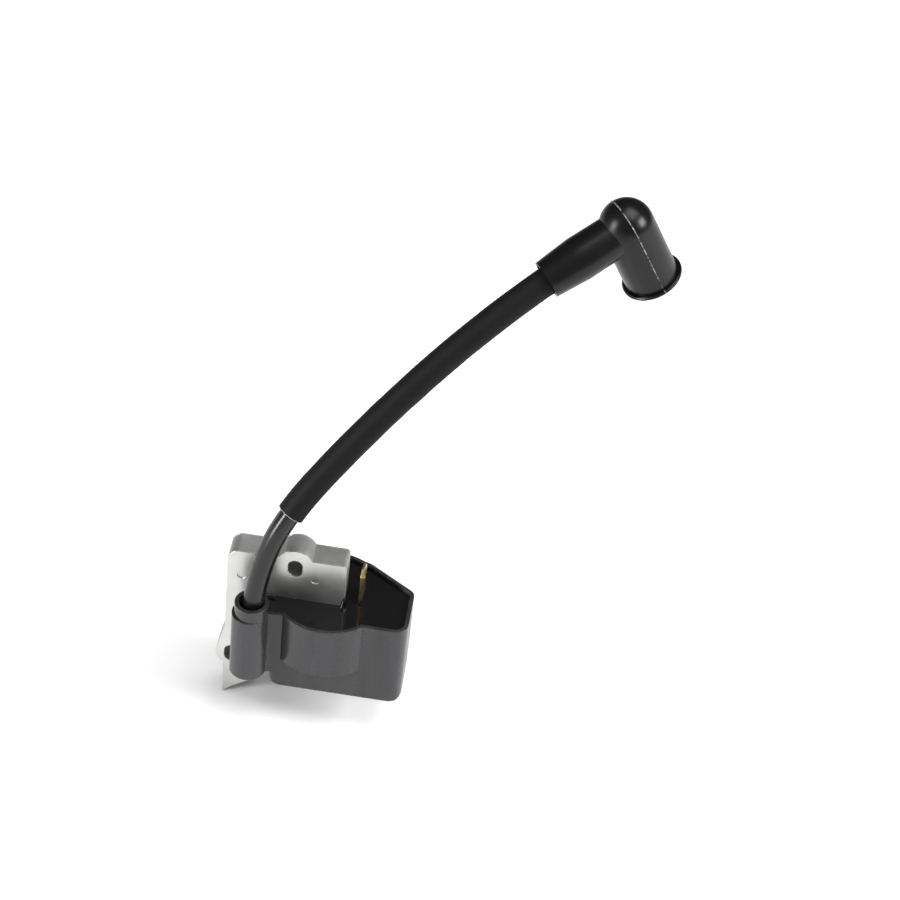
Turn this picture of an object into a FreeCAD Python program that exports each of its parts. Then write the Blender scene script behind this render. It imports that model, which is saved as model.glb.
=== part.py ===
"""Flywheel ignition coil for a small engine.

A laminated steel core carries a potted coil and electronics housing. The high tension lead leaves a tower on
the housing's left side, runs up and to the right inside a loose protective sleeve, and ends in a rubber plug
boot. Millimetres. Shapes are drawn from the centre of the tower's rim: +X right, +Y back, +Z up the tower.
They are saved with the origin at the upper mounting slot, on the core's rear face.
"""
import FreeCAD, Part
import math
import os
from FreeCAD import Base

V = Base.Vector
RIGHT = V(1, 0, 0)
BACK = V(0, 1, 0)
UP = V(0, 0, 1)

# ---- driving dimensions ----
# laminated core: a U whose two legs point down to the flywheel
CORE_FRONT = 10.2            # Y of the front face
STACK = 9.0                  # stack thickness along Y
SHEET = 0.5                  # one lamination
CORE_LEFT = -9.9
CORE_RIGHT = 29.5
YOKE_TOP = 16.5
YOKE_BOTTOM = -2.0
LEFT_LEG_INNER = 0.5
RIGHT_LEG_INNER = 18.5
INNER_FILLET = 1.5
FLYWHEEL_R = 45.0            # air-gap arc on the ends of both legs
FLYWHEEL_X = 22.1
FLYWHEEL_Z = -82.4
SLOT_W = 4.9
SLOT_L = 7.2
UPPER_SLOT = (12.6, 12.4)    # X, Z of the slot centres
LOWER_SLOT = (-7.3, -31.6)
UPPER_EAR = (12.6, 14.1, 5.95)    # X, Z, radius
LOWER_EAR = (-6.8, -31.5, 5.8)
FLANK_TOP = -18.5            # where the lower ear's sloping flank leaves the leg
DIMPLES = ((19.4, 8.3), (-5.0, 5.8), (-4.8, -20.0))
DIMPLE_R = 1.4
DIMPLE_DEPTH = 0.35

# housing: open-topped tray of glass-filled plastic round the right leg
WALL = 1.4
HOUSING_BOTTOM = -33.2
PLATE_FRONT = 0.5            # Y of the flat front wall
PLATE_LEFT = 7.3
BULGE_R = 19.4               # drum round the coil
BULGE_BOTTOM = -20.6
DRUM_X = 23.95               # the right leg's axis
DRUM_Y = 14.7
HOUSING_RIGHT = 52.0
POTTING_TOP = -1.2
WEB_BOTTOM = -27.0
# the web joins the tower to the tray and to the core's face; its pocket is potted with the tray
WEB = ((3.5, -0.6, 0), (9.5, PLATE_FRONT, 0), (9.5, CORE_FRONT, 0), (2.5, CORE_FRONT, 0), (2.5, 5.2, 0))
POCKET = ((5.0, 1.2, 0), (11.0, 1.9, 0), (11.0, 8.8, 0), (3.8, 8.8, 0), (3.8, 4.0, 0))
POCKET_BOTTOM = -9.0
CREEP = ((29.6, 10.5, 1.7, 0.4, 4.0), (34.4, 12.6, 1.3, 0.6, 1.6), (34.9, 19.1, 1.2, 0.6, 1.2))

# lead tower and collar
TOWER_R = 6.05
TOWER_BOTTOM = -26.4
TOWER_BORE_R = 5.1
TOWER_BORE_BOTTOM = -15.0
COLLAR_TOP = 4.8
COLLAR_R = 5.65              # the collar's head, above the tower's rim
COLLAR_X = 0.4               # the lead pulls the head a little to the right
COLLAR_LIP = 0.7             # gap between the lead and the mouth of the collar

# high tension lead, sleeve and boot
LEAD_R = 3.5
CONDUCTOR_R = 1.0
SLEEVE_R = 4.6
SLEEVE_BORE_R = 3.55
SLEEVE_START = 57.5          # distance along the lead from its foot
LEAD_AZIMUTH = 30.0          # the lead bends in one upright plane, turned this far from +X to +Y
ROUTE = ((0.0, TOWER_BORE_BOTTOM), (0.0, 1.8), (4.5, 26.0), (11.8, 41.0), (24.6, 57.3), (44.8, 78.6),
         (67.7, 99.2))       # distance out and height of the route's points, before the boot
DOME = V(102.0, 59.2, 132.7)      # centre of the boot's rounded corner
NECK_AZIMUTH = 32.0
NECK_RISE = 28.2
NECK_DROP = 1.0              # the neck's axis passes this far under the dome's centre
BARREL_ROLL = -4.7           # the barrel's turn about the neck, from hanging straight down
NECK_STRAIGHT = 30.0         # last bend of the lead to the dome's centre
LEAD_END = 6.2               # the lead stops this far short of the dome's centre
BARREL_R = 8.7
BARREL_L = 24.8
FLANGE_R = 9.95
FLANGE_T = 1.3
FLASH = 0.2                  # height and thickness of the mould line round the barrel and dome
FLASH_T = 0.28
NECK_L = 30.0
NECK_END_R = 6.25
NECK_MIDDLE_R = 7.2
NECK_R = 6.9
SLEEVE_STOP = 21.0           # the sleeve ends in the neck, this far from the dome's centre
MOUTH_R = 6.2
MOUTH_L = 9.0
CAVITY_R = 5.6
TURN_CLEARANCE = 0.05        # radial, between the boot and what it turns on

# coil on the right leg
BOBBIN_TOP = -4.0
BOBBIN_BOTTOM = -17.9
BOBBIN_WALL = 1.0
SECTIONS = 4
FLANGE_H = 1.0               # primary bobbin's end flanges
PRIMARY_DEPTH = 2.0
FORMER_R = 10.7              # secondary former's bore
FORMER_WALL = 0.8
RIB_R = 16.8
SECONDARY_R = 15.6
PRIMARY_ENDS = ((30.4, 8.0), (31.6, 10.4))    # X, Y where the primary's ends come up
LEAD_LEVEL = -3.3

# terminals and electronics
BLADE_X = 34.65
BLADE_Y = 15.85
BLADE_W = 6.3
BLADE_T = 0.8
BLADE_TOP = 12.8
BOARD_X = 45.2
BOARD_T = 1.6
FOOT_DEPTH = 2.4             # how far the blade's foot is below the resin

# plug spring and the hook that joins it to the lead
WIRE_R = 0.5
SPRING_R = 3.3
SPRING_PITCH = 1.6
SPRING_TURNS = 5
SPRING_TOP = -3.4
HOOK_REACH = 4.6             # how far the hook runs into the lead's end

ORIGIN = V(UPPER_SLOT[0], CORE_FRONT + STACK, UPPER_SLOT[1])
parts = {}


# ---- helpers ----
def box(x0, x1, y0, y1, z0, z1):
    return Part.makeBox(x1 - x0, y1 - y0, z1 - z0, V(x0, y0, z0))


def post(x, y, r, z0, z1):
    return Part.makeCylinder(r, z1 - z0, V(x, y, z0), UP)


def rod(a, b, r):
    return Part.makeCylinder(r, (b - a).Length, a, b - a)


def rounded_wire(corners):
    """Closed wire of straight sides; each corner is (point, radius)."""
    edges = []
    ends = []
    count = len(corners)
    for i, (p, r) in enumerate(corners):
        before = (corners[i - 1][0] - p).normalize()
        after = (corners[(i + 1) % count][0] - p).normalize()
        half = before.getAngle(after) / 2
        reach = r / math.tan(half)
        a, b = p + before * reach, p + after * reach
        if r > 0:
            middle = p + (before + after).normalize() * (r / math.sin(half) - r)
            edges.append((Part.Arc(a, middle, b).toShape(), a, b))
        ends.append((a, b))
    lines = []
    for i in range(count):
        a, b = ends[i][1], ends[(i + 1) % count][0]
        lines.append(Part.LineSegment(a, b).toShape())
    return Part.Wire(Part.__sortEdges__(lines + [e[0] for e in edges]))


def prism(corners, direction):
    return Part.Face(rounded_wire(corners)).extrude(direction)


def plan(points, z0, z1, inset=0.0):
    """Upright prism from (x, y, radius) corners, pulled in by inset."""
    wire = rounded_wire([(V(x, y, z0), r) for x, y, r in points])
    if inset:
        wire = wire.makeOffset2D(-inset)
    return Part.Face(wire).extrude(V(0, 0, z1 - z0))


def side(points, y0, y1):
    """Prism along Y from (x, z, radius) corners."""
    return prism([(V(x, y0, z), r) for x, z, r in points], V(0, y1 - y0, 0))


def revolve(points, centre, axis):
    """Solid of revolution from (along, radius) points about an axis through centre."""
    across = V(0, 1, 0) if abs(axis.y) < 0.9 else V(1, 0, 0)
    ring = [centre + axis * a + across * r for a, r in points]
    return Part.Face(Part.makePolygon(ring + [ring[0]])).revolve(centre, axis, 360)


def one(shape):
    """Merge the split faces of a boolean result."""
    return shape.removeSplitter()


def save(name, shape):
    parts[name] = shape
    placed = shape.copy()
    placed.translate(ORIGIN * -1)
    placed.exportStep("parts/%s.step" % name)


# ---- laminated core ----
def tangent_point(px, pz, cx, cz, r):
    """Where a line from (px, pz) touches the left of a circle lower down."""
    dx, dz = cx - px, cz - pz
    reach = math.sqrt(dx * dx + dz * dz - r * r)
    angle = math.atan2(dz, dx) - math.atan2(r, reach)
    return px + reach * math.cos(angle), pz + reach * math.sin(angle)


def pole_end():
    """Everything below the flywheel arc that trims both legs."""
    return Part.makeCylinder(FLYWHEEL_R, 60, V(FLYWHEEL_X, -20, FLYWHEEL_Z), BACK)


def slot(centre, y0, y1):
    x, z = centre
    half = (SLOT_L - SLOT_W) / 2
    r = SLOT_W / 2
    ends = [Part.makeCylinder(r, y1 - y0, V(x, y0, z + s * half), BACK) for s in (-1, 1)]
    return ends[0].fuse([ends[1], box(x - r, x + r, y0, y1, z - half, z + half)])


def lamination(y0, y1):
    legs = -60
    inner = YOKE_BOTTOM, INNER_FILLET
    body = side(((CORE_LEFT, YOKE_TOP, 4.0), (CORE_RIGHT, YOKE_TOP, 1.2), (CORE_RIGHT, legs, 0),
                 (RIGHT_LEG_INNER, legs, 0), (RIGHT_LEG_INNER, *inner), (LEFT_LEG_INNER, *inner),
                 (LEFT_LEG_INNER, legs, 0), (CORE_LEFT, legs, 0)), y0, y1)
    ears = []
    for x, z, r in (UPPER_EAR, LOWER_EAR):
        ears.append(Part.makeCylinder(r, y1 - y0, V(x, y0, z), BACK))
    ex, ez, er = LOWER_EAR
    tx, tz = tangent_point(CORE_LEFT, FLANK_TOP, ex, ez, er)
    flank = side(((ex, FLANK_TOP, 0), (CORE_LEFT, FLANK_TOP, 0), (tx, tz, 0), (ex, ez, 0)), y0, y1)
    solid = body.fuse(ears + [flank])
    solid = solid.cut(pole_end())
    return one(solid.cut(slot(UPPER_SLOT, y0 - 1, y1 + 1)).cut(slot(LOWER_SLOT, y0 - 1, y1 + 1)))


def build_core():
    front, rear = CORE_FRONT, CORE_FRONT + STACK
    sheet = lamination(front, front + SHEET)
    for x, z in DIMPLES:
        sheet = sheet.cut(Part.makeCylinder(DIMPLE_R, DIMPLE_DEPTH, V(x, front, z), BACK))
    save("front_lamination", sheet)
    save("lamination_pack", lamination(front + SHEET, rear - SHEET))
    save("rear_lamination", lamination(rear - SHEET, rear))


def leg_hole():
    return box(RIGHT_LEG_INNER, CORE_RIGHT, CORE_FRONT, CORE_FRONT + STACK, -60, YOKE_BOTTOM)


def yoke_block():
    return box(CORE_LEFT, CORE_RIGHT, CORE_FRONT, CORE_FRONT + STACK, YOKE_BOTTOM, YOKE_TOP)


def core_fillets():
    """The corner metal between the yoke and the right leg, which the potting meets."""
    x, z = RIGHT_LEG_INNER - INNER_FILLET, YOKE_BOTTOM - INNER_FILLET
    corner = box(x, RIGHT_LEG_INNER, CORE_FRONT, CORE_FRONT + STACK, z, YOKE_BOTTOM)
    return corner.cut(Part.makeCylinder(INNER_FILLET, STACK, V(x, CORE_FRONT, z), BACK))


# ---- housing ----
PLAN = ((PLATE_LEFT, PLATE_FRONT, 1.5), (HOUSING_RIGHT, PLATE_FRONT, 4.5), (HOUSING_RIGHT, 20.2, 3.0),
        (35.5, 31.1, 8.0), (23.8, 34.0, 0.5), (PLATE_LEFT, 20.0, 0.5))


def tray(inset):
    """The flat-fronted tray, with its lower edges rounded at both ends."""
    low = HOUSING_BOTTOM + inset
    ends = side(((PLATE_LEFT + inset, 9, 0), (PLATE_LEFT + inset, low, 4 - inset),
                 (HOUSING_RIGHT - inset, low, 2 - inset), (HOUSING_RIGHT - inset, 9, 0)), -30, 60)
    return plan(PLAN, low, 0, inset).common(ends)


def drum(inset):
    """The drum round the coil, shallower than the tray."""
    return post(DRUM_X, DRUM_Y, BULGE_R - inset, BULGE_BOTTOM + inset, 0)


def link_direction():
    return V(DRUM_X, DRUM_Y, 0).normalize()


def link_wire():
    along = link_direction()
    height = V(0, 0, TOWER_BORE_BOTTOM - 0.75)
    return rod(height + along * 2.5, height + along * (math.hypot(DRUM_X, DRUM_Y) - 15.6), 0.5)


def cavity():
    pocket = plan(POCKET, POCKET_BOTTOM, 0).cut(post(0, 0, TOWER_R, POCKET_BOTTOM, 0))
    return tray(WALL).fuse([drum(WALL), pocket])


def build_housing():
    body = tray(0).fuse(drum(0))
    tower = post(0, 0, TOWER_R, TOWER_BOTTOM, 0)
    web = plan(WEB, WEB_BOTTOM, 0)
    body = body.fuse([tower, web])
    body = body.cut(cavity())
    body = body.cut(post(0, 0, TOWER_BORE_R, TOWER_BORE_BOTTOM, 1))
    body = body.cut(post(0, 0, 2.5, TOWER_BORE_BOTTOM - 1.5, 1))
    body = body.cut(link_wire())
    body = body.cut(leg_hole()).cut(yoke_block())
    save("housing", one(body))


# ---- coil windings on the right leg ----
def around_leg(grow, z0, z1, corner=0.0):
    """Block round the right leg, grown outwards by grow."""
    x0, x1 = RIGHT_LEG_INNER - grow, CORE_RIGHT + grow
    y0, y1 = CORE_FRONT - grow, CORE_FRONT + STACK + grow
    return plan(((x0, y0, corner), (x1, y0, corner), (x1, y1, corner), (x0, y1, corner)), z0, z1)


def build_coil():
    low, high = BOBBIN_BOTTOM + FLANGE_H, BOBBIN_TOP - FLANGE_H
    leads = []
    for x, y in PRIMARY_ENDS:
        bend = V(x, y, LEAD_LEVEL)
        pin = rod(V(x, y, high), bend, 0.4)
        leads.append(pin.fuse([Part.makeSphere(0.4, bend), rod(bend, V(BOARD_X, y, bend.z), 0.4)]))
    save("primary_leads", Part.makeCompound(leads))

    tube = around_leg(BOBBIN_WALL, BOBBIN_BOTTOM, BOBBIN_TOP)
    flanges = [post(DRUM_X, DRUM_Y, FORMER_R - 0.3, z, z + FLANGE_H) for z in (BOBBIN_BOTTOM, high)]
    save("primary_bobbin", one(tube.fuse(flanges).cut(leg_hole())).cut(parts["primary_leads"]))
    wound = around_leg(BOBBIN_WALL + PRIMARY_DEPTH, low, high, 3.0)
    save("primary_winding", wound.cut(around_leg(BOBBIN_WALL, low, high)))

    rib_t = FORMER_WALL
    pitch = (BOBBIN_TOP - BOBBIN_BOTTOM - rib_t) / SECTIONS
    outer = FORMER_R + FORMER_WALL
    levels = [BOBBIN_BOTTOM + i * pitch for i in range(SECTIONS + 1)]
    former = post(DRUM_X, DRUM_Y, outer, BOBBIN_BOTTOM, BOBBIN_TOP)
    former = former.fuse([post(DRUM_X, DRUM_Y, RIB_R, z, z + rib_t) for z in levels])
    bore = post(DRUM_X, DRUM_Y, FORMER_R, BOBBIN_BOTTOM - 1, BOBBIN_TOP + 1)
    save("secondary_bobbin", one(former.cut(bore)))
    hanks = []
    for z in levels[:-1]:
        ring = post(DRUM_X, DRUM_Y, SECONDARY_R, z + rib_t, z + pitch)
        hanks.append(ring.cut(post(DRUM_X, DRUM_Y, outer, z + rib_t, z + pitch)))
    save("secondary_winding", Part.makeCompound(hanks))


# ---- electronics ----
def build_board():
    front = BOARD_X + BOARD_T
    save("circuit_board", box(BOARD_X, front, 2.6, 17.8, -26.0, -3.0))
    save("power_transistor", box(BOARD_X - 2.3, BOARD_X, 4.0, 10.4, -25.0, -18.9).fuse(
        box(BOARD_X - 0.6, BOARD_X, 4.6, 9.8, -18.9, -17.6)))
    save("control_chip", box(front, front + 1.5, 4.2, 8.2, -11.5, -6.5))
    save("capacitor", plan(((front, 10.2, 0), (front + 3.2, 10.2, 0.6), (front + 3.2, 16.6, 0.6),
                            (front, 16.6, 0)), -13.0, -6.0))
    save("resistors", Part.makeCompound([box(front, front + 0.6, y, y + 1.6, -17.2, -14.0)
                                         for y in (4.0, 7.0, 10.0, 13.0)]))
    save("diode", box(front, front + 2.2, 6.0, 10.2, -22.4, -19.6))


def build_terminals():
    low = POTTING_TOP - FOOT_DEPTH
    half = BLADE_W / 2
    blade = prism([(V(BLADE_X - BLADE_T / 2, BLADE_Y + y, z), 0) for y, z in (
        (-half, low), (half, low), (half, BLADE_TOP - 2.2), (half - 1.5, BLADE_TOP), (1.5 - half, BLADE_TOP),
        (-half, BLADE_TOP - 2.2))], V(BLADE_T, 0, 0))
    blade = blade.cut(Part.makeCylinder(0.9, 4, V(BLADE_X - 2, BLADE_Y, BLADE_TOP - 4.4), RIGHT))
    blade.rotate(V(BLADE_X, BLADE_Y, 0), UP, -5)
    foot = box(BLADE_X - 0.2, BOARD_X, BLADE_Y - 2, BLADE_Y + 2, low, low + BLADE_T)
    save("kill_terminal", one(blade.fuse(foot)))
    save("ground_strap", box(CORE_RIGHT, BOARD_X, 11.2, 12.4, -1.9, -1.5).fuse(
        box(BOARD_X - 0.4, BOARD_X, 11.2, 12.4, -5.0, -1.5)))


def build_tower_fittings():
    base = TOWER_BORE_BOTTOM
    spike = revolve(((-1.5, 0), (-1.5, 2.5), (0, 2.5), (0, 0.45), (5.0, 0.45), (6.2, 0)), V(0, 0, base), UP)
    save("ht_spike", spike)
    save("ht_link", link_wire())
    collar = post(0, 0, TOWER_BORE_R, base, 0).fuse(post(COLLAR_X, 0, COLLAR_R, 0, COLLAR_TOP))
    return spike, collar.cut(post(0, 0, LEAD_R, base - 1, COLLAR_TOP + 1))


# ---- boot frame ----
def neck_axis():
    a, e = math.radians(NECK_AZIMUTH), math.radians(NECK_RISE)
    return V(math.cos(a) * math.cos(e), math.sin(a) * math.cos(e), math.sin(e))


def boot_placement():
    """Boot drawn with its neck along +X to the origin, its barrel along -Z and its dome over the origin."""
    x = neck_axis()
    y = UP.cross(x).normalize()
    turn = Base.Rotation(x, y, x.cross(y), "XYZ").multiply(Base.Rotation(RIGHT, BARREL_ROLL))
    return Base.Placement(DOME - turn.multVec(V(0, 0, NECK_DROP)), turn)


# ---- lead route ----
def route_points():
    a = math.radians(LEAD_AZIMUTH)
    points = [V(math.cos(a) * out, math.sin(a) * out, z) for out, z in ROUTE]
    axis, corner = neck_axis(), boot_placement().Base
    return points + [corner - axis * NECK_STRAIGHT, corner - axis * LEAD_END]


def lead_path():
    """Straight runs and tangent arcs: (kind, start, direction, length, centre, axis) for each stretch."""
    points = route_points()
    stretches = []
    start = points[0]
    radii = []
    for before, corner, after in zip(points, points[1:], points[2:]):
        a, b = corner - before, after - corner
        turn = a.getAngle(b)
        reach = 0.45 * min(a.Length, b.Length)
        radius = reach / math.tan(turn / 2)
        radii.append(radius)
        a_dir, b_dir = V(a).normalize(), V(b).normalize()
        into, out_of = corner - a_dir * reach, corner + b_dir * reach
        axis = a_dir.cross(b_dir).normalize()
        stretches.append(("run", start, a_dir, (into - start).Length, None, None))
        stretches.append(("arc", into, a_dir, radius * turn, into + axis.cross(a_dir) * radius, axis))
        start = out_of
    last = points[-1] - points[-2]
    stretches.append(("run", start, V(last).normalize(), (points[-1] - start).Length, None, None))
    return stretches, radii


def tube(stretches, begin, finish, outer, inner):
    """Tube along part of the route, between two distances from its start."""
    pieces = []
    travelled = 0.0
    for kind, start, heading, length, centre, axis in stretches:
        a, b = max(begin - travelled, 0), min(finish - travelled, length)
        travelled += length
        if b - a < 1e-6:
            continue
        if kind == "run":
            at, facing = start + heading * a, heading
        else:
            swing = Base.Rotation(axis, math.degrees(a / (start - centre).Length))
            at, facing = centre + swing.multVec(start - centre), swing.multVec(heading)
        ring = Part.Face(Part.Wire(Part.makeCircle(outer, at, facing)))
        if inner:
            ring = ring.cut(Part.Face(Part.Wire(Part.makeCircle(inner, at, facing))))
        if kind == "run":
            pieces.append(ring.extrude(facing * (b - a)))
        else:
            pieces.append(ring.revolve(centre, axis, math.degrees((b - a) / (start - centre).Length)))
    solid = pieces[0].fuse(pieces[1:])
    if solid.ShapeType == "Compound":
        solid = solid.Solids[0]
    expected = math.pi * (outer ** 2 - inner ** 2) * (finish - begin)
    print("tube volume / section times length: %.4f" % (solid.Volume / expected))
    return solid


def build_lead(spike, collar):
    stretches, radii = lead_path()
    total = sum(s[3] for s in stretches)
    print("lead length %.1f, bend radii %s" % (total, " ".join("%.0f" % r for r in radii)))
    save("lead_jacket", tube(stretches, 0, total, LEAD_R, CONDUCTOR_R))
    conductor = tube(stretches, 0, total, CONDUCTOR_R, 0)
    corner = boot_placement().Base
    hook_hole = rod(corner - neck_axis() * (LEAD_END + HOOK_REACH + 0.4), corner, WIRE_R + TURN_CLEARANCE)
    save("lead_conductor", conductor.cut(spike).cut(hook_hole))
    sleeve_end = total - (SLEEVE_STOP - LEAD_END)
    save("protective_sleeve", tube(stretches, SLEEVE_START, sleeve_end, SLEEVE_R, SLEEVE_BORE_R))
    lip = post(COLLAR_X, 0, LEAD_R + COLLAR_LIP, COLLAR_TOP - 1.6, COLLAR_TOP + 1)
    bend = tube(stretches, 0, 30, LEAD_R, 0)
    save("lead_collar", one(collar.cut(lip).cut(bend)))


# ---- boot ----
def build_boot():
    place = boot_placement()
    top = V(0, 0, NECK_DROP)
    mouth_level = NECK_DROP - BARREL_L
    low = V(0, 0, mouth_level)
    dome = Part.makeSphere(BARREL_R, top)
    barrel = Part.makeCylinder(BARREL_R, BARREL_L, low)
    flange = revolve(((0, 0), (0, FLANGE_R - 0.4), (0.4, FLANGE_R), (FLANGE_T - 0.4, FLANGE_R),
                      (FLANGE_T, FLANGE_R - 0.4), (FLANGE_T, 0)), low, UP)
    neck = revolve(((-NECK_L, 0), (-NECK_L, NECK_END_R), (-NECK_L * 0.6, NECK_MIDDLE_R), (0, NECK_R), (0, 0)),
                   V(0, 0, 0), RIGHT)
    flash = Part.makeSphere(BARREL_R + FLASH, top).fuse(
        post(0, 0, BARREL_R + FLASH, mouth_level + FLANGE_T, NECK_DROP))
    flash = flash.common(box(-FLASH_T / 2, FLASH_T / 2, -12, 12, mouth_level, 12))
    body = dome.fuse([barrel, flange, neck, flash])
    mouth = Part.makeCylinder(MOUTH_R, MOUTH_L, low)
    hollow = Part.makeCylinder(CAVITY_R, BARREL_L, low).fuse(Part.makeSphere(CAVITY_R, top))
    sleeve_bore = rod(V(-NECK_L, 0, 0), V(0.5 - SLEEVE_STOP, 0, 0), SLEEVE_R + 0.7)
    lead_bore = rod(V(-NECK_L, 0, 0), V(0, 0, 0), LEAD_R + TURN_CLEARANCE)
    body = one(body.cut(mouth.fuse([hollow, sleeve_bore, lead_bore])))

    rise = SPRING_PITCH * SPRING_TURNS
    ring = Part.Wire(Part.makeCircle(WIRE_R, V(SPRING_R, 0, 0), BACK))
    spring = Part.Wire(Part.makeHelix(SPRING_PITCH, rise, SPRING_R)).makePipeShell([ring], True, True)
    spring.translate(V(0, 0, SPRING_TOP - rise))
    corner = V(0, 0, 0)
    cap = Part.makeCylinder(SPRING_R + WIRE_R, 0.6, V(0, 0, SPRING_TOP + WIRE_R))
    hook = rod(V(-LEAD_END - HOOK_REACH, 0, 0), corner, WIRE_R).fuse(
        [Part.makeSphere(WIRE_R), rod(corner, V(0, 0, SPRING_TOP + WIRE_R), WIRE_R), cap])
    for name, shape in (("boot_elbow", body), ("plug_spring", spring), ("lead_hook", one(hook))):
        shape.Placement = place.multiply(shape.Placement)
        save(name, shape)


# ---- potting, poured round everything in the tray ----
def build_potting():
    fill = cavity().common(box(-30, 80, -30, 60, HOUSING_BOTTOM, POTTING_TOP))
    fill = fill.fuse([Part.makeCone(low_r, high_r, rise, V(x, y, POTTING_TOP - 0.3), UP)
                      for x, y, low_r, high_r, rise in CREEP])
    fill = fill.cut(leg_hole().fuse([yoke_block(), core_fillets()]))
    inside = ("primary_bobbin", "primary_winding", "secondary_bobbin", "secondary_winding", "primary_leads",
              "circuit_board", "power_transistor", "control_chip", "capacitor", "resistors", "diode",
              "kill_terminal", "ground_strap", "ht_link")
    for name in inside:
        fill = fill.cut(parts[name])
    save("potting_compound", max(fill.Solids, key=lambda solid: solid.Volume))


os.makedirs("parts", exist_ok=True)
build_core()
build_housing()
build_coil()
build_board()
build_terminals()
spike, collar = build_tower_fittings()
build_lead(spike, collar)
build_boot()
build_potting()
for name, shape in sorted(parts.items()):
    print("%-20s solids %d valid %s volume %.1f" % (name, len(shape.Solids), shape.isValid(), shape.Volume))
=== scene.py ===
"""Looks of a flywheel ignition coil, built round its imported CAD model. Metres, +Z up the lead tower."""
import math

import bpy
from mathutils import Matrix, Vector, noise


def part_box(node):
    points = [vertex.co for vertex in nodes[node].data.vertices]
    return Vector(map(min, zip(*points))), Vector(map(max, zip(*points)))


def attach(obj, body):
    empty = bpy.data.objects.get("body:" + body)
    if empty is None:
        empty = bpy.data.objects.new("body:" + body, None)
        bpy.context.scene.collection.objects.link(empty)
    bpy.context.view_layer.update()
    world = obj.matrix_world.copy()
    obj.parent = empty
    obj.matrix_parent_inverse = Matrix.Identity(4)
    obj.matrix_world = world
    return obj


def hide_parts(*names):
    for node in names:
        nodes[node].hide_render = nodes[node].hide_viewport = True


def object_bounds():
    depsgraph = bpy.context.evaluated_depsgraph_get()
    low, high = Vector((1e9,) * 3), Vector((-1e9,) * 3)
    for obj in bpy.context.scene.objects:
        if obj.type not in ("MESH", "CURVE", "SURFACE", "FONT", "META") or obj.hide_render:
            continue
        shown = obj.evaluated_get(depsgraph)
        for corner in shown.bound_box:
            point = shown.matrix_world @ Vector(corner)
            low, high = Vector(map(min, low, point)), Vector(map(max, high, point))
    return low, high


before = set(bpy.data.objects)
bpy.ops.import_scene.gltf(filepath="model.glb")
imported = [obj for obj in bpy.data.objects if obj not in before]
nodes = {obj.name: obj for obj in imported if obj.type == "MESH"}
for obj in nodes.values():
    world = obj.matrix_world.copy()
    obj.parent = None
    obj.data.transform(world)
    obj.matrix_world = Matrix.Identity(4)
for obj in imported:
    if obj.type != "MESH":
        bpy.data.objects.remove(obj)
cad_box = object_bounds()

MM = 0.001

# ---- places read from the frame ----
spike_low, spike_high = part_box("ht_spike")
RIM_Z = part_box("housing")[1].z
TOWER = Vector(((spike_low.x + spike_high.x) / 2, (spike_low.y + spike_high.y) / 2, RIM_Z))

# ---- camera: the direction it looks from, and the point at the middle of its view ----
CAMERA_AZIMUTH = math.radians(2.48)
CAMERA_ELEVATION = math.radians(41.06)
CAMERA_ROLL = math.radians(6.9)
CAMERA_AIM = TOWER + Vector((56.5, 52.1, 37.0)) * MM
CAMERA_DISTANCE = 0.8
LENS = 96.0
SENSOR_WIDTH = 36.0

# ---- lead route: (distance out, height) from the tower's rim, then the boot's neck ----
LEAD_AZIMUTH = math.radians(30.0)
ROUTE = ((0.0, -0.015), (0.0, 0.0018), (0.0045, 0.0260), (0.0118, 0.0410), (0.0246, 0.0573),
         (0.0448, 0.0786), (0.0677, 0.0992))
DOME = TOWER + Vector((0.1020, 0.0592, 0.1327))
NECK_AZIMUTH = math.radians(32.0)
NECK_RISE = math.radians(28.2)
NECK_DROP = 1.0 * MM         # the neck's axis passes this far under the dome's centre
BARREL_ROLL = math.radians(-4.7)
NECK_STRAIGHT = 0.030
LEAD_END = 0.0062
LEAD_R = 0.0035
SLEEVE_R = 0.0046
SLEEVE_BORE_R = 0.00356
SLEEVE_START = 0.0575
SLEEVE_STOP = 0.0148
SLEEVE_STEP = 0.8 * MM       # from one ring of the sleeve's outside to the next
SLEEVE_CHAMFER = 0.18 * MM
RIPPLE = 0.07 * MM           # unevenness of the sleeve's outside
RIPPLE_ROOM = 0.05 * MM      # kept clear inside SLEEVE_R for the ripple
RIPPLES_PER_METRE = 160
CUT_SLANT = Vector((-0.01, -0.15, 0.13))   # which side of the sleeve's lower end is cut back
SLANT_RINGS = 6              # the slant fades out over this many rings
SHEET = 0.5 * MM             # thickness of one lamination
SEAM_HALF = 0.17 * MM        # half the width of the boot's mould line

# ---- edges of the CAD nodes ----
SHARP = math.radians(30)     # edges sharper than this are creases
WELD = 0.005 * MM            # points nearer than this become one
FLAT = math.radians(0.5)     # facets within this angle become one face
CORE_EASE = 0.10 * MM        # width of the rounding on sharp edges
MOULDED_EASE = 0.15 * MM
BLADE_EASE = 0.08 * MM

# ---- studio ----
FLOOR_HALF = 4.0
FLOOR_GAP = 0.2 * MM         # the floor lies this far under the part
SKY_FRONT = 0.32             # strength of the sky in front of the part, and behind it
SKY_BACK = 0.10
LIGHTS = (                   # name, place from the part's middle, width, watts, height if not square
    ("left", (-1.00, -0.70, 0.26), 0.26, 17, 0.9),
    ("right", (0.98, -0.16, 0.60), 0.46, 13, None),
    ("top", (0.33, -0.11, 1.56), 1.1, 20, None),
)


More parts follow.
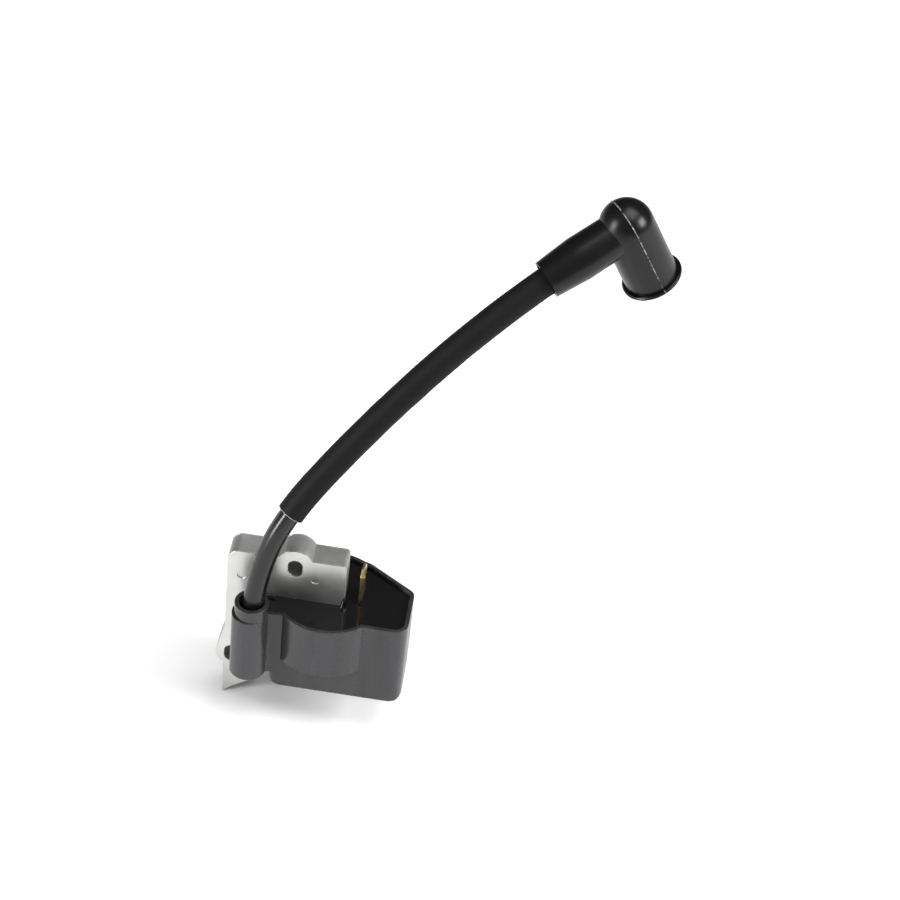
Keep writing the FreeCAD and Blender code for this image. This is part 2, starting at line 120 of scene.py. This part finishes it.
# ---- camera ----
def make_camera():
    a, e, r = CAMERA_AZIMUTH, CAMERA_ELEVATION, CAMERA_ROLL
    right = Vector((math.cos(a), math.sin(a), 0))
    back = Vector((math.sin(a) * math.cos(e), -math.cos(a) * math.cos(e), math.sin(e)))
    up = back.cross(right)
    across = right * math.cos(r) + up * math.sin(r)
    upward = up * math.cos(r) - right * math.sin(r)
    data = bpy.data.cameras.new("camera")
    data.lens = LENS
    data.sensor_width = SENSOR_WIDTH
    data.clip_start = 0.01
    camera = bpy.data.objects.new("camera", data)
    bpy.context.scene.collection.objects.link(camera)
    turn = Matrix((across, upward, back)).transposed().to_4x4()
    camera.matrix_world = Matrix.Translation(CAMERA_AIM + back * CAMERA_DISTANCE) @ turn
    bpy.context.scene.camera = camera


# ---- node material helpers ----
class Shader:
    """A Principled material with a short way to add and join nodes."""

    def __init__(self, name, **values):
        self.material = bpy.data.materials.new(name)
        self.material.use_nodes = True
        self.tree = self.material.node_tree
        self.surface = self.tree.nodes["Principled BSDF"]
        for key, value in values.items():
            self.surface.inputs[key.replace("_", " ")].default_value = value

    def add(self, kind, **values):
        node = self.tree.nodes.new(kind)
        for key, value in values.items():
            if key in node.inputs:
                node.inputs[key].default_value = value
            else:
                setattr(node, key, value)
        return node

    def join(self, source, target):
        self.tree.links.new(source, target)

    def coordinates(self, scale=(1, 1, 1)):
        where = self.add("ShaderNodeTexCoord")
        mapping = self.add("ShaderNodeMapping")
        mapping.inputs["Scale"].default_value = scale
        self.join(where.outputs["Object"], mapping.inputs["Vector"])
        return mapping.outputs["Vector"]

    def noise(self, size, detail=4.0, rough=0.5, stretch=(1, 1, 1)):
        """Noise whose features are about this size in metres."""
        node = self.add("ShaderNodeTexNoise", Scale=1.0 / size, Detail=detail, Roughness=rough)
        self.join(self.coordinates(stretch), node.inputs["Vector"])
        return node.outputs["Fac"]

    def ramp(self, source, *stops):
        """Colour ramp; each stop is (position, colour or grey)."""
        node = self.add("ShaderNodeValToRGB")
        bar = node.color_ramp
        while len(bar.elements) < len(stops):
            bar.elements.new(0.5)
        for element, (position, colour) in zip(bar.elements, stops):
            element.position = position
            element.color = (colour,) * 3 + (1,) if isinstance(colour, float) else (*colour, 1)
        self.join(source, node.inputs["Fac"])
        return node.outputs["Color"]

    def mix(self, factor, a, b, kind="MIX"):
        node = self.add("ShaderNodeMix", data_type="RGBA", blend_type=kind)
        for socket, value in ((node.inputs[0], factor), (node.inputs[6], a), (node.inputs[7], b)):
            if isinstance(value, bpy.types.NodeSocket):
                self.join(value, socket)
            else:
                socket.default_value = value
        return node.outputs[2]

    def math(self, kind, a, b=0.0):
        node = self.add("ShaderNodeMath", operation=kind)
        for socket, value in ((node.inputs[0], a), (node.inputs[1], b)):
            if isinstance(value, bpy.types.NodeSocket):
                self.join(value, socket)
            else:
                socket.default_value = value
        return node.outputs[0]

    def colour(self, source):
        self.join(source, self.surface.inputs["Base Color"])

    def rough(self, source):
        self.join(source, self.surface.inputs["Roughness"])

    def bump(self, *layers):
        """Bump layers of (height source, depth in metres)."""
        before = None
        for source, depth in layers:
            node = self.add("ShaderNodeBump", Strength=1.0, Distance=depth)
            self.join(source, node.inputs["Height"])
            if before:
                self.join(before, node.inputs["Normal"])
            before = node.outputs["Normal"]
        self.join(before, self.surface.inputs["Normal"])


def black_plastic():
    """Glass-filled nylon off a polished tool: soft gloss, fine dust and faint vertical streaks, which are
    flow marks in the roughness and bump, and in the colour painted reflection streaks as well as flow
    marks.
    """
    s = Shader("housing_plastic", Specular_IOR_Level=0.42)
    flow_and_painted_sheen = s.noise(0.010, 2, 0.4, (1, 1, 0.15))
    fine = s.noise(0.0004, 3, 0.6)
    dust = s.noise(0.0011, 5, 0.75)
    # the vertical streaks in the base colour are painted reflection streaks as well as flow marks
    base = s.ramp(flow_and_painted_sheen, (0.35, (0.013, 0.013, 0.014)), (0.68, (0.029, 0.029, 0.032)))
    s.colour(s.mix(s.ramp(dust, (0.66, 0.0), (0.86, 0.05)), base, (0.12, 0.12, 0.12, 1)))
    s.rough(s.ramp(s.mix(0.15, flow_and_painted_sheen, fine), (0.3, 0.20), (0.7, 0.32)))
    s.bump((flow_and_painted_sheen, 0.00002))
    return s.material


def epoxy():
    """Cured potting resin: a black mirror with a slow swell, pinholes and settled dust."""
    s = Shader("epoxy", Specular_IOR_Level=0.5)
    swell = s.noise(0.016, 2)
    dust = s.noise(0.0009, 4, 0.7)
    s.colour(s.ramp(dust, (0.62, (0.004, 0.004, 0.004)), (0.86, (0.020, 0.020, 0.020))))
    s.rough(s.ramp(s.mix(0.3, swell, dust), (0.3, 0.05), (0.75, 0.16)))
    s.bump((swell, 0.00016))
    return s.material


def core_steel():
    """Stamped electrical steel: bright faces; the stack's edges are duller and show the sheets."""
    s = Shader("core_steel", Metallic=0.9)
    geometry = s.add("ShaderNodeNewGeometry")
    split = s.add("ShaderNodeSeparateXYZ")
    s.join(geometry.outputs["Normal"], split.inputs[0])
    facing = s.math("ABSOLUTE", split.outputs["Y"])
    edge = s.math("LESS_THAN", facing, 0.5)
    place = s.add("ShaderNodeSeparateXYZ")
    s.join(s.coordinates(), place.inputs[0])
    phase = s.math("MULTIPLY", place.outputs["Y"], 2 * math.pi / SHEET)
    lines = s.math("ADD", s.math("MULTIPLY", s.math("SINE", phase), 0.5), 0.5)
    grain = s.noise(0.0006, 5, 0.65)
    blotch = s.noise(0.007, 5, 0.6)
    both = s.mix(0.2, blotch, grain)
    face = s.ramp(both, (0.3, (0.51, 0.51, 0.50)), (0.7, (0.60, 0.60, 0.585)))
    cut = s.ramp(both, (0.3, (0.30, 0.30, 0.295)), (0.7, (0.46, 0.46, 0.45)))
    cut = s.mix(s.math("MULTIPLY", lines, 0.22), cut, (0.15, 0.15, 0.145, 1))
    s.colour(s.mix(edge, face, cut))
    s.rough(s.math("ADD", s.math("MULTIPLY", edge, 0.28), s.ramp(both, (0.3, 0.27), (0.7, 0.33))))
    s.bump((s.math("MULTIPLY", lines, edge), 0.000008), (grain, 0.0000006))
    return s.material


def rubber(name, dark, light, rough_low, rough_high, gloss, grain=0.0005, depth=0.0000015, dust=0.1,
           seam=None):
    """Black rubber or vinyl with fine grain and a little dust; dust is how much of it shows.

    seam is a (point, normal) plane where the mould's halves met, which leaves a pale torn edge."""
    s = Shader(name, Specular_IOR_Level=gloss)
    broad = s.noise(0.009, 3)
    fine = s.noise(grain, 4, 0.6)
    specks = s.noise(0.0008, 5, 0.75)
    base = s.ramp(s.mix(0.4, broad, fine), (0.3, (dark,) * 3), (0.75, (light,) * 3))
    colour = s.mix(s.ramp(specks, (0.62, 0.0), (0.80, dust)), base, (0.30, 0.30, 0.29, 1))
    if seam:
        point, normal = seam
        offset = s.add("ShaderNodeVectorMath", operation="SUBTRACT")
        s.join(s.coordinates(), offset.inputs[0])
        offset.inputs[1].default_value = point
        across = s.add("ShaderNodeVectorMath", operation="DOT_PRODUCT")
        s.join(offset.outputs[0], across.inputs[0])
        across.inputs[1].default_value = normal
        near = s.math("LESS_THAN", s.math("ABSOLUTE", across.outputs["Value"]), SEAM_HALF)
        torn = s.ramp(s.noise(0.0022, 5, 0.75), (0.44, 0.0), (0.60, 1.0))
        colour = s.mix(s.math("MULTIPLY", near, torn), colour, (0.34, 0.34, 0.33, 1))
    s.colour(colour)
    s.rough(s.ramp(s.mix(0.5, broad, fine), (0.3, rough_low), (0.7, rough_high)))
    s.bump((broad, 0.00003), (fine, depth))
    return s.material


def metal(name, low, high, rough, streak=(1, 1, 1)):
    s = Shader(name, Metallic=1.0)
    broad = s.noise(0.004, 4)
    fine = s.noise(0.0004, 4, 0.6, streak)
    s.colour(s.ramp(s.mix(0.4, broad, fine), (0.3, low), (0.7, high)))
    s.rough(s.ramp(fine, (0.3, rough), (0.7, rough + 0.14)))
    s.bump((fine, 0.000002))
    return s.material


def winding(name, low, high, pitch):
    """Fine wire wound in turns stacked along Z."""
    s = Shader(name, Metallic=0.8, Roughness=0.32)
    place = s.add("ShaderNodeSeparateXYZ")
    s.join(s.coordinates(), place.inputs[0])
    phase = s.math("MULTIPLY", place.outputs["Z"], 2 * math.pi / pitch)
    turns = s.math("ADD", s.math("MULTIPLY", s.math("SINE", phase), 0.5), 0.5)
    s.colour(s.mix(s.noise(0.003, 3), s.ramp(turns, (0.0, low), (1.0, high)), (*high, 1)))
    s.bump((turns, pitch * 0.3))
    return s.material


def moulded(name, low, high, rough):
    s = Shader(name)
    broad = s.noise(0.003, 4)
    fine = s.noise(0.0003, 3)
    s.colour(s.ramp(s.mix(0.3, broad, fine), (0.3, low), (0.7, high)))
    s.rough(s.ramp(fine, (0.3, rough), (0.7, rough + 0.15)))
    s.bump((fine, 0.000002))
    return s.material


def floor_paint():
    s = Shader("floor_paper", Roughness=0.95, Specular_IOR_Level=0.0)
    s.colour(s.ramp(s.noise(0.05, 5), (0.3, 0.92), (0.7, 0.94)))
    s.bump((s.noise(0.001, 3), 0.00001))
    return s.material


# ---- lead, sleeve ----
NECK = Vector((math.cos(NECK_AZIMUTH) * math.cos(NECK_RISE), math.sin(NECK_AZIMUTH) * math.cos(NECK_RISE),
               math.sin(NECK_RISE)))
ACROSS = Vector((0, 0, 1)).cross(NECK).normalized()
BARREL_UP = NECK.cross(ACROSS) * math.cos(BARREL_ROLL) - ACROSS * math.sin(BARREL_ROLL)
CORNER = DOME - BARREL_UP * NECK_DROP    # where the neck's axis meets the barrel's


def route_points():
    out = Vector((math.cos(LEAD_AZIMUTH), math.sin(LEAD_AZIMUTH), 0))
    points = [TOWER + out * r + Vector((0, 0, z)) for r, z in ROUTE]
    return points + [CORNER - NECK * NECK_STRAIGHT, CORNER - NECK * LEAD_END]


def route_curve(name):
    data = bpy.data.curves.new(name, "CURVE")
    data.dimensions = "3D"
    spline = data.splines.new("NURBS")
    points = route_points()
    spline.points.add(len(points) - 1)
    for point, place in zip(spline.points, points):
        point.co = (*place, 1)
    spline.order_u = 3
    spline.use_endpoint_u = True
    data.resolution_u = 16
    obj = bpy.data.objects.new(name, data)
    bpy.context.scene.collection.objects.link(obj)
    return obj


def route_line():
    """Points along the lead's centreline, read from its spline."""
    obj = route_curve("route")
    bpy.context.view_layer.update()
    mesh = bpy.data.meshes.new_from_object(obj)
    line = [v.co.copy() for v in mesh.vertices]
    bpy.data.objects.remove(obj)
    return line


def stations(line, begin, finish, step):
    """Evenly spaced (point, tangent) along part of a line, between two distances."""
    marks = [0.0]
    for a, b in zip(line, line[1:]):
        marks.append(marks[-1] + (b - a).length)
    count = max(2, round((finish - begin) / step))
    found = []
    i = 0
    for k in range(count + 1):
        s = begin + (finish - begin) * k / count
        while i < len(line) - 2 and marks[i + 1] < s:
            i += 1
        t = (s - marks[i]) / (marks[i + 1] - marks[i])
        found.append((line[i].lerp(line[i + 1], t), (line[i + 1] - line[i]).normalized()))
    return found


def length_of(line):
    return sum((b - a).length for a, b in zip(line, line[1:]))


def mesh_object(name, verts, faces, *materials):
    mesh = bpy.data.meshes.new(name)
    mesh.from_pydata(verts, [], faces)
    for material in materials:
        mesh.materials.append(material)
    mesh.shade_smooth()
    obj = bpy.data.objects.new(name, mesh)
    bpy.context.scene.collection.objects.link(obj)
    return obj


def swept_shell(name, rings, materials, lip_rings, around=72):
    """Closed shell from rings of (centre, tangent, radius function, slant); the last joins the first.

    A slant vector moves the ring's near side along the tangent, for a cut that isn't quite square.
    Faces after a ring numbered in lip_rings take the second material."""
    verts = []
    side = Vector((0, 0, 1)).cross(rings[0][1]).normalized()
    for centre, tangent, radius, slant in rings:
        side = (side - tangent * side.dot(tangent)).normalized()
        other = tangent.cross(side)
        for k in range(around):
            a = 2 * math.pi * k / around
            heading = side * math.cos(a) + other * math.sin(a)
            point = centre + heading * radius(centre, heading)
            verts.append(point + tangent * (point - centre).dot(slant))
    faces = []
    count = len(rings)
    for i in range(count):
        j = (i + 1) % count
        for k in range(around):
            m = (k + 1) % around
            faces.append((i * around + k, i * around + m, j * around + m, j * around + k))
    shell = mesh_object(name, verts, faces, *materials)
    for face in shell.data.polygons:
        if face.index // around in lip_rings:
            face.material_index = 1
    return shell


def make_lead(material):
    lead = route_curve("high_tension_lead")
    lead.data.bevel_depth = LEAD_R
    lead.data.bevel_resolution = 12
    lead.data.use_fill_caps = True
    lead.data.materials.append(material)
    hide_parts("lead_jacket", "lead_conductor")
    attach(lead, "module")
    return lead


def make_sleeve(line, *materials):
    """Loose tube, slightly uneven along its length, cut by hand a little out of square."""
    walk = stations(line, SLEEVE_START, length_of(line) - SLEEVE_STOP, SLEEVE_STEP)
    chamfer = SLEEVE_CHAMFER
    flat = Vector()

    def outer(inset):
        def radius(centre, heading):
            ripple = noise.noise((centre + heading * 0.004) * RIPPLES_PER_METRE) * RIPPLE
            return SLEEVE_R - inset + ripple - RIPPLE_ROOM
        return radius

    def inner(centre, heading):
        return SLEEVE_BORE_R

    def inner_lip(centre, heading):
        return SLEEVE_BORE_R + chamfer

    first, last = walk[0], walk[-1]
    rings = [(*first, inner_lip, CUT_SLANT), (*first, outer(chamfer), CUT_SLANT)]
    for i, (p, t) in enumerate(walk[:-1]):
        begin = p + t * chamfer if i == 0 else p
        slant = CUT_SLANT * max(0, 1 - i / SLANT_RINGS)
        rings.append((begin, t, outer(0), slant))
    rings += [(last[0] - last[1] * chamfer, last[1], outer(0), flat), (*last, outer(chamfer), flat),
              (*last, inner_lip, flat)]
    lips = (0, 1, len(rings) - 3, len(rings) - 2)
    back = walk[-3:2:-4]
    rings += [(p, t, inner, flat) for p, t in back]
    rings.append((first[0] + first[1] * chamfer, first[1], inner, CUT_SLANT))
    sleeve = swept_shell("lead_sleeve", rings, materials, lips)
    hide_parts("protective_sleeve")
    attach(sleeve, "module")
    return sleeve


# ---- CAD nodes: materials, and eased edges by modifier ----
def dress(node, material, ease=0.0):
    """Give a CAD node its material; ease is the width of the rounding on its sharp edges.

    The boot gets none, because its mould line is too thin to round."""
    obj = nodes[node]
    obj.data.materials.clear()
    obj.data.materials.append(material)
    obj.data.shade_smooth()
    weld = obj.modifiers.new("weld", "WELD")
    weld.merge_threshold = WELD
    if ease:
        flatten = obj.modifiers.new("flatten", "DECIMATE")
        flatten.decimate_type = "DISSOLVE"
        flatten.angle_limit = FLAT
        bevel = obj.modifiers.new("ease", "BEVEL")
        bevel.width = ease
        bevel.segments = 2
        bevel.limit_method = "ANGLE"
        bevel.angle_limit = SHARP
        bevel.use_clamp_overlap = False
        even = obj.modifiers.new("even", "WEIGHTED_NORMAL")
        even.mode = "FACE_AREA"
        even.weight = 90
    else:
        split = obj.modifiers.new("creases", "EDGE_SPLIT")
        split.split_angle = SHARP
    return obj


def dress_nodes(shaders):
    steel = shaders["steel"]
    for name in ("front_lamination", "lamination_pack", "rear_lamination"):
        dress(name, steel, CORE_EASE)
    dress("housing", shaders["plastic"], MOULDED_EASE)
    dress("potting_compound", shaders["epoxy"])
    dress("kill_terminal", shaders["brass"], BLADE_EASE)
    dress("ground_strap", shaders["brass"])
    dress("ht_spike", shaders["brass"])
    dress("ht_link", shaders["copper"])
    dress("lead_collar", shaders["collar"], MOULDED_EASE)
    dress("boot_elbow", shaders["boot"])
    dress("plug_spring", shaders["spring"])
    dress("lead_hook", shaders["spring"])
    for name in ("primary_bobbin", "secondary_bobbin"):
        dress(name, shaders["bobbin"])
    dress("primary_winding", shaders["thick_wire"])
    dress("primary_leads", shaders["copper"])
    dress("secondary_winding", shaders["thin_wire"])
    dress("circuit_board", shaders["board"])
    for name in ("power_transistor", "control_chip", "diode", "resistors"):
        dress(name, shaders["package"])
    dress("capacitor", shaders["film"])


def boot_seam():
    """The mould line's plane, through the dome and square to the neck, in the boot's own coordinates."""
    own = nodes["boot_elbow"].matrix_world.inverted()
    return own @ DOME, own.to_3x3() @ NECK


def make_shaders():
    return {
        "steel": core_steel(),
        "plastic": black_plastic(),
        "epoxy": epoxy(),
        "brass": metal("brass", (0.72, 0.52, 0.20), (0.92, 0.74, 0.38), 0.20, (1, 1, 6)),
        "copper": metal("copper", (0.60, 0.27, 0.14), (0.80, 0.42, 0.25), 0.25),
        "spring": metal("spring_steel", (0.42, 0.42, 0.42), (0.62, 0.62, 0.62), 0.25),
        "collar": rubber("collar_rubber", 0.010, 0.024, 0.20, 0.30, 0.5, dust=0.6),
        "boot": rubber("boot_rubber", 0.0015, 0.0035, 0.26, 0.36, 0.26, dust=0.10, seam=boot_seam()),
        "lead": rubber("lead_jacket", 0.003, 0.006, 0.20, 0.28, 0.42, dust=0.06),
        "sleeve": rubber("sleeve", 0.002, 0.005, 0.55, 0.72, 0.16, grain=0.0003, depth=0.000006,
                         dust=0.14),
        "cut": rubber("sleeve_cut_edge", 0.34, 0.55, 0.5, 0.6, 0.4),
        "bobbin": moulded("bobbin_nylon", (0.55, 0.51, 0.40), (0.70, 0.66, 0.54), 0.4),
        "thick_wire": winding("primary_wire", (0.30, 0.10, 0.03), (0.72, 0.32, 0.14), 0.4 * MM),
        "thin_wire": winding("secondary_wire", (0.34, 0.12, 0.04), (0.66, 0.30, 0.13), 0.1 * MM),
        "board": moulded("board_laminate", (0.03, 0.14, 0.06), (0.05, 0.22, 0.10), 0.35),
        "package": moulded("component_body", (0.012, 0.012, 0.012), (0.03, 0.03, 0.03), 0.45),
        "film": moulded("capacitor_film", (0.45, 0.16, 0.03), (0.60, 0.24, 0.06), 0.3),
    }


# ---- studio ----
def area_light(name, place, aim, size, power, size_y):
    data = bpy.data.lights.new(name, "AREA")
    data.energy = power
    data.size = size
    if size_y:
        data.shape = "RECTANGLE"
        data.size_y = size_y
    light = bpy.data.objects.new(name, data)
    light.location = place
    light.rotation_euler = (Vector(aim) - Vector(place)).to_track_quat("-Z", "Y").to_euler()
    bpy.context.scene.collection.objects.link(light)


def make_studio():
    low, high = cad_box
    middle = (low + high) / 2
    half = FLOOR_HALF
    z = low.z - FLOOR_GAP
    corners = [(-half, -half), (half, -half), (half, half), (-half, half)]
    floor = mesh_object("floor", [(middle.x + x, middle.y + y, z) for x, y in corners], [(0, 1, 2, 3)],
                        floor_paint())
    world = bpy.data.worlds.new("studio")
    world.use_nodes = True
    tree = world.node_tree
    sky = tree.nodes["Background"]
    where = tree.nodes.new("ShaderNodeTexCoord")
    split = tree.nodes.new("ShaderNodeSeparateXYZ")
    fade = tree.nodes.new("ShaderNodeMapRange")
    fade.inputs["From Min"].default_value = -0.4
    fade.inputs["From Max"].default_value = 0.75
    fade.inputs["To Min"].default_value = SKY_FRONT
    fade.inputs["To Max"].default_value = SKY_BACK
    tree.links.new(where.outputs["Generated"], split.inputs[0])
    tree.links.new(split.outputs["Y"], fade.inputs["Value"])
    tree.links.new(fade.outputs["Result"], sky.inputs["Strength"])
    sky.inputs["Color"].default_value = (1, 1, 1, 1)
    bpy.context.scene.world = world
    bpy.context.scene.view_settings.view_transform = "Standard"
    for name, place, size, power, size_y in LIGHTS:
        area_light(name, middle + Vector(place), middle, size, power, size_y)


make_camera()
shaders = make_shaders()
lead = make_lead(shaders["lead"])
line = route_line()
sleeve = make_sleeve(line, shaders["sleeve"], shaders["cut"])
dress_nodes(shaders)
make_studio()
